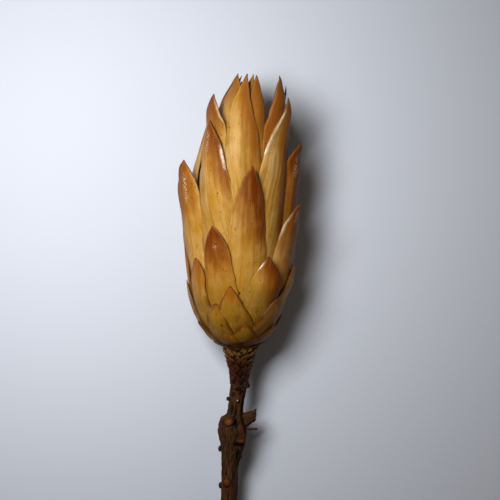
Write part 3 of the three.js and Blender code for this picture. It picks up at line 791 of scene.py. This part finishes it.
# How far a scale's tip is lifted and its margins drop, how thick its tip is and how much thicker its root,
# and where on the stem the scales lie flat.
SCALE_LIFT, SCALE_MARGINS_DROP, SCALE_TIP_THICKNESS, SCALE_THICKENS = 0.85, 0.25, 0.3, 0.5
SCALES_STAND_OUT, SCALES_FLAT_AT = 0.05, 19
DARK_OLIVE, OLIVE = (0.055, 0.02, 0.003), (0.16, 0.072, 0.01)
DARK_RED, SCALE_RED = (0.009, 0.002, 0.001), (0.085, 0.016, 0.003)
SCALE_EDGE, SCALE_ROOT_SHADE = (0.27, 0.14, 0.036), (0.006, 0.002, 0.001)


def scale_sizes(i):
    """A scale's place in the spiral, and its size, which follows the neck's girth."""
    below = SCALES_TO * (i / (SCALE_COUNT - 1)) ** SCALE_SPREAD
    size = (smooth(STEM_RADII, below) / SCALE_FULL_SIZE_RADIUS) ** SCALE_SIZE_POWER
    azimuth = SPIRAL_START - SPIRAL_STEP * i
    return {"number": i, "tip_below": below - SCALE_TIP_ABOVE, "azimuth": azimuth, "size": size}


def scale_finish():
    """Olive brown below the head to dark red brown further down, with pale edges, and painted shade on each
    scale's covered root.
    """
    scale = Finish("brown_scale")
    below, down, edge, across, number = scale.attributes("below", "down", "edge", "across", "number")
    grain = scale.noise(across * 3.0 + number, down * 1.2, number * 3.7, 3.0)
    grainy = grain.ramp(0.35, 0.65)
    colour = scale.layers(
        scale.layers(DARK_OLIVE, (grainy, OLIVE)),
        (below.ramp(1.5, 5.5), scale.layers(DARK_RED, (grainy, SCALE_RED))),
        (edge.ramp(0.30, 0.05) * (1 - below.ramp(1, 6) * 0.9) * 0.25, SCALE_EDGE),
        # painted shade where the scale above shades this one's root
        (down.ramp(0.34, 0.62) * 0.96, SCALE_ROOT_SHADE),
    )
    return scale.end(grain, 0.6, 0.2, colour, 0.5 + grain * 0.25, **MATT)


def shape_scales(tree):
    """Pointed tiles that are bent round the neck, with their tips lifted."""
    tiles = tree.spread(tree.block("Faces across", "Faces along"))
    tip_below, azimuth, size, number = tree.attributes("tip_below", "azimuth", "size", "number")
    grown = tree.noise(number * 2.3, number, 0.5, 0.0)
    turned = tree.noise(number, 3.5, number * 1.9, 0.0) - 0.5
    shifted = tree.noise(number * 1.7, 8.5, number, 0.0) - 0.5
    size = size * (SCALE_LEAST_SIZE + grown * SCALE_SIZES_DIFFER)
    x, y, z = tree.place()
    across, down, deep = x * 2, 0.5 - y, 0.5 - z
    below = tip_below + shifted * SCALES_SHIFTED + tree.size("Length") * size * down
    half = tree.size("Half width") * size * (0.08 + 0.92 * (down / 0.5).least(1) ** 0.8)
    width = across * half
    radius = tree.read(STEM_RADII, below.most(STEM_TOP), STEM_READ_STEPS)
    lift = SCALE_LIFT * (1 - down) ** 1.5 - SCALE_MARGINS_DROP * across * across
    lift = lift - deep * (SCALE_TIP_THICKNESS + SCALE_THICKENS * down)
    radius = radius + lift * (1 - below / SCALES_FLAT_AT) + SCALES_STAND_OUT
    angle = (azimuth + turned * SCALES_TURNED) * DEGREE + width / radius
    sideways, sag = stem_centre(tree, below.most(0))
    kept = tree.store(tiles, below=below, down=down, edge=(1 - abs(across)) * half, across=width)
    tree.lie_down(kept, tree.around(radius, angle, sideways, -below, sag), brown_scale)


brown_scale = scale_finish()
scales_tree = Growth("neck_scales", {
    "Faces across": 8, "Faces along": 10, "Length": 2.8, "Half width": 1.12,
})
shape_scales(scales_tree)
neck_scales = scales_tree.grow("neck_scales", [scale_sizes(i) for i in range(SCALE_COUNT)])
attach(neck_scales, "root")
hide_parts("stem")

# Leaf scars and buds on the bark. A scar is the round corky seat that a leaf left when it fell, with a
# rim and an orange middle, and a bud is a small dark knob. Both are part of the wood.
SCAR_FIELDS = ("below", "azimuth", "wide", "tall", "outwards", "pit", "orange", "white")
SCARS_AND_BUDS = [
    (14.1, 88, 0.8, 0.9, 0.75, 0.0, 0.1, 0), (13.9, 50, 1.2, 1.2, 0.6, 0.6, 0.15, 0),
    (14.0, -25, 1.0, 1.0, 0.45, 0.5, 0.2, 0), (19.0, -90, 0.8, 0.8, 0.75, 0.0, 0.1, 0),
    (19.1, 2, 0.75, 0.8, 0.5, 0.5, 0.1, 0.5), (26.6, -16, 2.1, 2.0, 1.0, 0.45, 1.0, 0),
    (34.0, 32, 1.9, 1.0, 0.75, 0.15, 1.0, 0), (37.7, -92, 0.9, 1.1, 0.75, 0.0, 0.0, 0),
    (49.4, -20, 1.8, 2.2, 0.5, 0.35, 0.45, 0), (51.5, -95, 0.9, 1.2, 0.8, 0.0, 0.0, 0),
    (41.0, 128, 1.3, 1.1, 0.7, 0.3, 0.6, 0), (58.0, 172, 1.4, 1.1, 0.6, 0.3, 0.6, 0),
    (66.0, 48, 1.3, 1.1, 0.6, 0.3, 0.7, 0), (77.0, -84, 1.2, 1.1, 0.65, 0.2, 0.3, 0),
    (88.0, 100, 1.3, 1.1, 0.6, 0.3, 0.6, 0),
]
CORK_FINENESS = (2600, 2600, 2600)
PIT_RADIUS, SCAR_RIM_RADIUS, SCAR_RIM_HALF_WIDTH = 0.7, 0.72, 0.06
DARK_CORK, CORK = (0.01, 0.004, 0.002), (0.055, 0.02, 0.006)
DARK_RUST, RUST, RUST_RING = (0.055, 0.012, 0.002), (0.3, 0.08, 0.008), (0.035, 0.009, 0.002)
WHITE_BUD = (0.68, 0.62, 0.55)


def scar_finish():
    """Dark cork round a rust orange middle with one darker ring in it, or round a white bud."""
    scar = Finish("corky_scar")
    off, orange, white = scar.attributes("off", "orange", "white")
    cork = scar.fixed_noise(CORK_FINENESS, 3.0)
    corky = cork.ramp(0.35, 0.65)
    ring = (1 - abs(off - 0.48) / 0.13).most(0)
    colour = scar.layers(
        DARK_CORK,
        (corky, CORK),
        (off.ramp(0.85, 0.35) * orange, scar.layers(DARK_RUST, (corky, RUST), (ring * 0.75, RUST_RING))),
        (off.ramp(0.5, 0.2) * white, WHITE_BUD),
    )
    return scar.end(cork, 0.7, 0.25, colour, 0.6 + cork * 0.2, **MATT)


def shape_scars(tree):
    """Rough knobs on the bark, pitted in their middle and with a low rim."""
    sockets = {"Segments": tree.size("Sides"), "Rings": tree.size("Rings"), "Radius": 1.0}
    knobs = tree.spread(tree.add("GeometryNodeMeshUVSphere", sockets))
    below, azimuth, wide, tall, outwards, pit = tree.attributes(*SCAR_FIELDS[:6])
    x, y, z = tree.place()
    off = (x * x + y * y) ** 0.5
    rough = tree.noise(x * 1.6 + below, y * 1.6, z * 1.6 + azimuth) - 0.5
    swell = 1 + tree.size("Roughness") * rough
    crater = (1 - (off / PIT_RADIUS) ** 2).most(0) * z.ramp(0, 0.3) * pit
    rim = z.ramp(0.1, 0.5) * (SCAR_RIM_HALF_WIDTH - abs(off - SCAR_RIM_RADIUS)).most(0) * 4 * pit
    local_x, local_y = x * wide * swell, y * tall * swell
    radius = tree.read(STEM_RADII, below, STEM_READ_STEPS) + (z * swell - crater + rim) * outwards
    turn = azimuth * DEGREE
    sideways, sag = stem_centre(tree, below)
    out_x = radius * turn.sine() + local_x * turn.cosine() + sideways
    out_z = radius * turn.cosine() - local_x * turn.sine() + sag
    kept = tree.store(knobs, off=off + (1 - z.ramp(-0.1, 0.2)))
    tree.lie_down(kept, tree.vector(out_x, local_y - below, out_z), corky_scar)


corky_scar = scar_finish()
scars_tree = Growth("scars", {"Sides": 28, "Rings": 16, "Roughness": 0.25})
shape_scars(scars_tree)
leaf_scars = scars_tree.grow("leaf_scars", [dict(zip(SCAR_FIELDS, scar)) for scar in SCARS_AND_BUDS])
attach(leaf_scars, "root")
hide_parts("stem")

# What is left of a side shoot at the swollen joint, a short splintered stub of wood with bark on it.
# The shoot snapped off, so the stub's end is ragged and lighter inside.
STUB_ROOT, STUB_END = (-0.6, -28.2, -0.45), (7.1, -24.3, -0.45)
STUB_HALF_WIDTHS = [(0, 4.3), (0.35, 3.5), (0.6, 2.8), (0.85, 2.5), (1, 2.7)]
STUB_READ_STEPS, STUB_HALF_THICKNESS, STUB_END_FRESH = 40, 1.35, 0.3
# The end slants by this much for each millimetre across. Splinters and slant are shares of this length.
STUB_SLANT, STUB_FREE_LENGTH = 0.55, 7.8


def shape_stub(tree):
    """A flattened butt of wood, from the joint to where it snapped."""
    butt = tree.spread(tree.tube(caps=5))
    azimuth, from_end, rim = tree.round_place()
    share = 1 - from_end
    half = tree.read(STUB_HALF_WIDTHS, share, STUB_READ_STEPS)
    flat_x, flat_z = azimuth.sine() * rim, azimuth.cosine() * rim
    fibres = tree.noise(flat_x * 7, flat_z * 5, share * 2.2, 3.0, 0.6)
    ragged = tree.noise(flat_x * 4.5 + 7, flat_z * 4.5, 2.0, 2.0, 0.6)
    grow = 1 - tree.size("Fibre depth") / 2 * (1 - fibres)
    across = flat_x * half * grow
    up = flat_z * STUB_HALF_THICKNESS * grow * (1 + 0.5 * (ragged - 0.5))
    splinters = share.ramp(0.55, 1.0) * (1 - ragged) * tree.size("Splinter length") / STUB_FREE_LENGTH
    run = share - splinters - share * across * STUB_SLANT / STUB_FREE_LENGTH
    along_x, along_y = STUB_END[0] - STUB_ROOT[0], STUB_END[1] - STUB_ROOT[1]
    length = math.hypot(along_x, along_y)
    x = STUB_ROOT[0] + run * along_x + across * (along_y / length)
    y = STUB_ROOT[1] + run * along_y - across * (along_x / length)
    cut = (1 - rim).ramp(0.0, 0.1) * share.ramp(0.5, 0.6) * STUB_END_FRESH
    kept = tree.store(
        butt, round_x=flat_x * 3, round_z=flat_z * 3, below=15 + share * 8, relief=fibres * 2 - 0.5, cut=cut,
    )
    tree.lie_down(kept, tree.vector(x, y, STUB_ROOT[2] + up), dark_bark)


stub_tree = Growth("side_stub", {"Sides": 40, "Rings": 26, "Splinter length": 3.0, "Fibre depth": 1.0})
shape_stub(stub_tree)
side_stub = stub_tree.grow("side_stub")
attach(side_stub, "root")
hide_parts("stem")

# One thin dry twig beside the stub. It is a shoot that never grew on, with redder bark than the stem,
# and it grows out of the same swollen joint.
TWIG_FROM, TWIG_TO = (0, -29.6, 0.3), (6.5, -30.1, 0.7)
TWIG_BEND, TWIG_THINS, TWIG_LEAST, TWIG_BUMPS = 0.25, 0.2, 0.7, 0.5


def shape_twig(tree):
    """A bumpy rod that thins and bends a little toward its end."""
    rod = tree.spread(tree.tube(caps=2))
    azimuth, from_end, rim = tree.round_place()
    share = 1 - from_end
    bumps = tree.noise(azimuth.sine() * 1.5, azimuth.cosine() * 1.5, share * 7)
    radius = tree.size("Radius") * rim * (TWIG_LEAST + bumps * TWIG_BUMPS) * (1 - TWIG_THINS * share)
    x, y, z = [start + (end - start) * share for start, end in zip(TWIG_FROM, TWIG_TO)]
    y = y + radius * azimuth.sine() - (share * math.pi).sine() * TWIG_BEND
    z = z + radius * azimuth.cosine()
    kept = tree.store(
        rod, round_x=azimuth.sine(), round_z=azimuth.cosine(), below=12 + share * 4, relief=bumps, cut=0.0,
    )
    tree.lie_down(kept, tree.vector(x, y, z), red_twig)


red_twig = bark_finish("red_twig", 1.0)
twig_tree = Growth("twig", {"Sides": 14, "Rings": 24, "Radius": 0.5})
shape_twig(twig_tree)
twig = twig_tree.grow("twig")
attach(twig, "root")
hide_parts("stem")

# The table that the flower lies on. It isn't part of the flower, only a sheet of pale, matt paper that
# is much larger than what the camera sees.
HALF_FLOOR, FLOOR_DROP = 1.5, 0.00005
PAPER, PAPER_ROUGHNESS = (0.54, 0.585, 0.68, 1), 0.9
corners = ((-1, -1), (1, -1), (1, 1), (-1, 1))
floor_corners = [(x * HALF_FLOOR, y * HALF_FLOOR, -FLOOR_DROP) for x, y in corners]
floor_mesh = bpy.data.meshes.new("floor")
floor_mesh.from_pydata(floor_corners, [], [(0, 1, 2, 3)])
floor = bpy.data.objects.new("floor", floor_mesh)
bpy.context.scene.collection.objects.link(floor)
pale_paper = bpy.data.materials.new("pale_paper")
pale_paper.use_nodes = True
paper_sockets = pale_paper.node_tree.nodes["Principled BSDF"].inputs
paper_sockets["Base Color"].default_value = PAPER
paper_sockets["Roughness"].default_value = PAPER_ROUGHNESS
floor_mesh.materials.append(pale_paper)

# The light. One soft lamp stands high on the upper left, a wide weak one on the right fills the shade,
# and a pale room lightens it a little more.
# Name, place, size, power, colour, the point that it shines at, and how wide it spreads, in degrees.
LAMPS = [
    ("key_lamp", (-0.092, 0.108, 0.255), 0.12, 0.485, (1.0, 0.97, 0.93), (-0.05, 0.06, 0), 120),
    ("fill_lamp", (0.4, -0.02, 0.3), 0.4, 0.19, (1.0, 0.8, 0.58), (0, 0.03, 0.02), 180),
]
ROOM_COLOUR, ROOM_STRENGTH = (0.95, 0.96, 1.0, 1), 0.03
for name, place, size, power, colour, aim, spread in LAMPS:
    lamp = bpy.data.lights.new(name, "AREA")
    lamp.size = size
    lamp.energy = power
    lamp.spread = math.radians(spread)
    lamp.color = colour
    holder = bpy.data.objects.new(name, lamp)
    holder.location = place
    toward = Vector(aim) - Vector(place)
    holder.rotation_euler = toward.to_track_quat("-Z", "Y").to_euler()
    bpy.context.scene.collection.objects.link(holder)
room = bpy.data.worlds.new("room")
room.use_nodes = True
room_sockets = room.node_tree.nodes["Background"].inputs
room_sockets["Color"].default_value = ROOM_COLOUR
room_sockets["Strength"].default_value = ROOM_STRENGTH
bpy.context.scene.world = room

# The camera. It looks straight down on the lying flower, as in the photograph. It is 0.9 m away, so that
# what stands nearer to it looks hardly any larger.
VIEW_WIDTH, VIEW_HEIGHT = 183 * MM, 900 * MM
VIEW_CENTRE = (3.7 * MM, 35.5 * MM, 20 * MM)
bpy.context.scene.view_settings.view_transform = "Standard"
lens = bpy.data.cameras.new("camera")
lens.angle = 2 * math.atan(VIEW_WIDTH / 2 / VIEW_HEIGHT)
camera = bpy.data.objects.new("camera", lens)
camera.location = (VIEW_CENTRE[0], VIEW_CENTRE[1], VIEW_CENTRE[2] + VIEW_HEIGHT)
bpy.context.scene.collection.objects.link(camera)
bpy.context.scene.camera = camera
